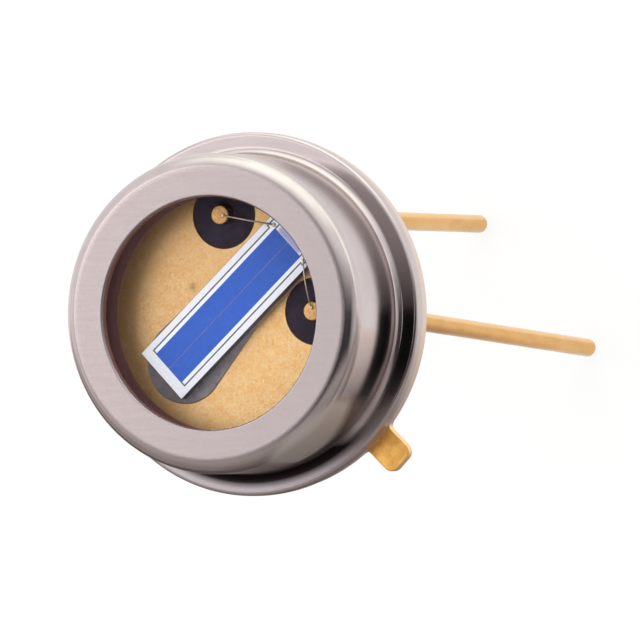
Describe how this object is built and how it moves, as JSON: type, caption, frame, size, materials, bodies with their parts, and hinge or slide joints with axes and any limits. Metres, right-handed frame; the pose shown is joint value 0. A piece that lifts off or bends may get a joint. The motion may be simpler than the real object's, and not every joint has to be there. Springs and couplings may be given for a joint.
{
  "type": "position sensitive detector",
  "caption": "Position sensitive light detector: a split photodiode chip behind a glass window, in a low round nickel can on a gold header with a locating tab and wire leads.",
  "frame": {"origin": "centre of the header's flat underside, where it seats on a board", "axes": "+Z along the optical axis, out of the window; +X towards the lead at 3 o'clock, +Y towards the lead at 12 o'clock; leads run to -Z"},
  "size_m": [0.0094, 0.0094, 0.018],
  "materials": {
    "gold_plate": "satin gold plating over steel",
    "nickel_plate": "satin nickel plating over drawn steel",
    "clear_glass": "clear polished",
    "seal_glass": "dark glossy",
    "silicon": "sawn grey",
    "frame_film": "pale satin film",
    "element_film": "blue coated silicon",
    "contact_film": "bright metal film",
    "silver_epoxy": "grey silver-filled epoxy",
    "bond_wire": "bright fine wire"
  },
  "bodies": {
    "root": {"header": "gold_plate", "cap": "nickel_plate", "window": "clear_glass", "top_seal": "seal_glass", "right_seal": "seal_glass", "top_lead": "gold_plate", "right_lead": "gold_plate", "case_lead": "gold_plate", "die_attach": "silver_epoxy", "die": "silicon", "guard_frame": "frame_film", "left_element": "element_film", "right_element": "element_film", "left_contact": "contact_film", "right_contact": "contact_film", "left_wire": "bond_wire", "right_wire": "bond_wire"}
  },
  "joints": []
}
